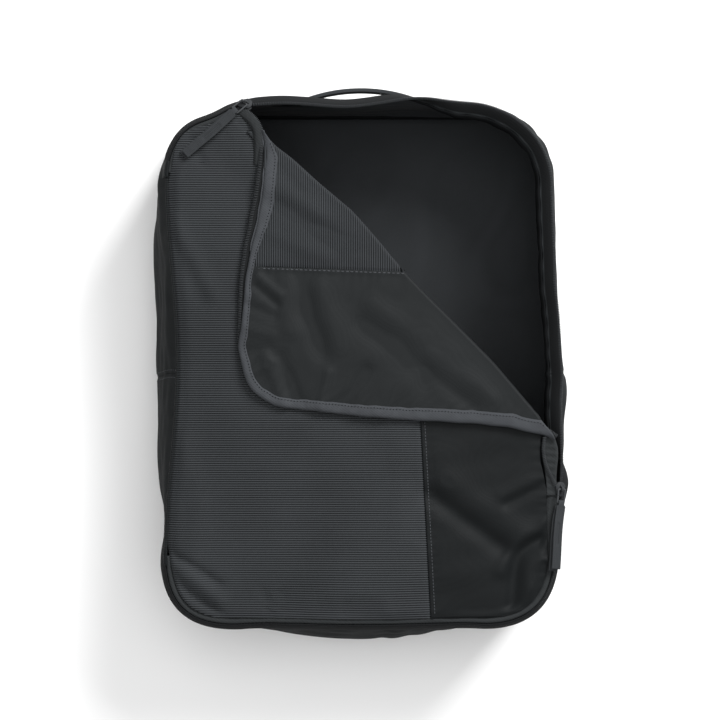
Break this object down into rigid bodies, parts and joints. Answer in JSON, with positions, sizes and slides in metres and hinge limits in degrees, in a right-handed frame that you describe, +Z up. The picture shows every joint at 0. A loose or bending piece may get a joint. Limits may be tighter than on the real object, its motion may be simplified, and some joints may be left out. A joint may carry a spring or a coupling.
{
  "type": "packing cube",
  "caption": "Soft rectangular packing cube with a two-slider zip round three sides, a lid corner folded back, and a carry handle on one end.",
  "frame": {"origin": "centre of the back panel's outer face, on which the case lies", "axes": "+X away from the sewn hinge side, +Y towards the carry handle, +Z up out of the open side"},
  "size_m": [0.3013, 0.4054, 0.1021],
  "materials": {
    "ribbed_fabric": "matt ribbed weave, charcoal",
    "plain_nylon": "smooth close-woven nylon with a soft sheen, near black",
    "binding_tape": "fine ribbed binding tape, dark grey",
    "zip_tape": "herringbone zip tape, charcoal",
    "zip_coil": "nylon coil, satin charcoal",
    "slider_metal": "satin black enamel",
    "puller_tape": "ribbed tape, dark grey",
    "webbing": "woven strap, near black",
    "thread": "twisted sewing thread, dark grey"
  },
  "bodies": {
    "case": {"back_panel": "plain_nylon", "upper_gusset": "plain_nylon", "lower_gusset": "plain_nylon", "back_binding": "binding_tape", "rim_binding": "binding_tape", "left_seam_binding": "binding_tape", "right_seam_binding": "binding_tape", "case_zip_tape": "zip_tape", "case_zip_coil": "zip_coil", "hinge_seam": "ribbed_fabric", "upper_zip_end_tab": "plain_nylon", "lower_zip_end_tab": "plain_nylon", "handle_end_left": "webbing", "handle_end_right": "webbing", "handle_bartacks": "thread"},
    "lid": {"lid_ribbed_panel": "ribbed_fabric", "lid_plain_panel": "plain_nylon", "lid_seam_binding": "binding_tape", "lid_edge_binding": "binding_tape", "lid_zip_tape": "zip_tape", "lid_zip_coil": "zip_coil"},
    "flap": {"flap_ribbed_panel": "ribbed_fabric", "flap_plain_panel": "plain_nylon", "flap_seam_binding": "binding_tape", "flap_edge_binding": "binding_tape", "flap_zip_tape": "zip_tape", "flap_zip_coil": "zip_coil"},
    "slider_top": {"slider_top": "slider_metal"},
    "slider_side": {"slider_side": "slider_metal"},
    "puller_top": {"puller_top_link": "slider_metal", "puller_top_tab": "puller_tape"},
    "puller_side": {"puller_side_link": "slider_metal", "puller_side_tab": "puller_tape"},
    "handle": {"handle_strap": "webbing"}
  },
  "joints": [
    {"name": "lid_open", "type": "hinge", "parent": "case", "child": "lid", "pos_m": [-0.139, 0, 0.09498], "axis": [0, -1, 0], "range_deg": [0, 170]},
    {"name": "flap_fold", "type": "hinge", "parent": "lid", "child": "flap", "pos_m": [0.05332, 0.05059, 0.09778], "axis": [-0.6884, 0.7254, 0], "range_deg": [0, 179.5]},
    {"name": "slider_top_slide", "type": "slide", "parent": "lid", "child": "slider_top", "axis": [1, 0, 0], "range_m": [-0.014, 0.006]},
    {"name": "slider_side_slide", "type": "slide", "parent": "lid", "child": "slider_side", "axis": [0, 1, 0], "range_m": [-0.045, 0.025]},
    {"name": "puller_top_swing", "type": "hinge", "parent": "slider_top", "child": "puller_top", "pos_m": [-0.086, 0.19457, 0.09832], "axis": [-0.6665, 0.7455, 0], "range_deg": [0, 130]},
    {"name": "puller_side_swing", "type": "hinge", "parent": "slider_side", "child": "puller_side", "pos_m": [0.14857, -0.092, 0.09832], "axis": [-0.9397, 0, 0.342], "range_deg": [0, 130]},
    {"name": "handle_tilt", "type": "hinge", "parent": "case", "child": "handle", "pos_m": [0, 0.199, 0.056], "axis": [1, 0, 0], "range_deg": [-30, 30]}
  ]
}
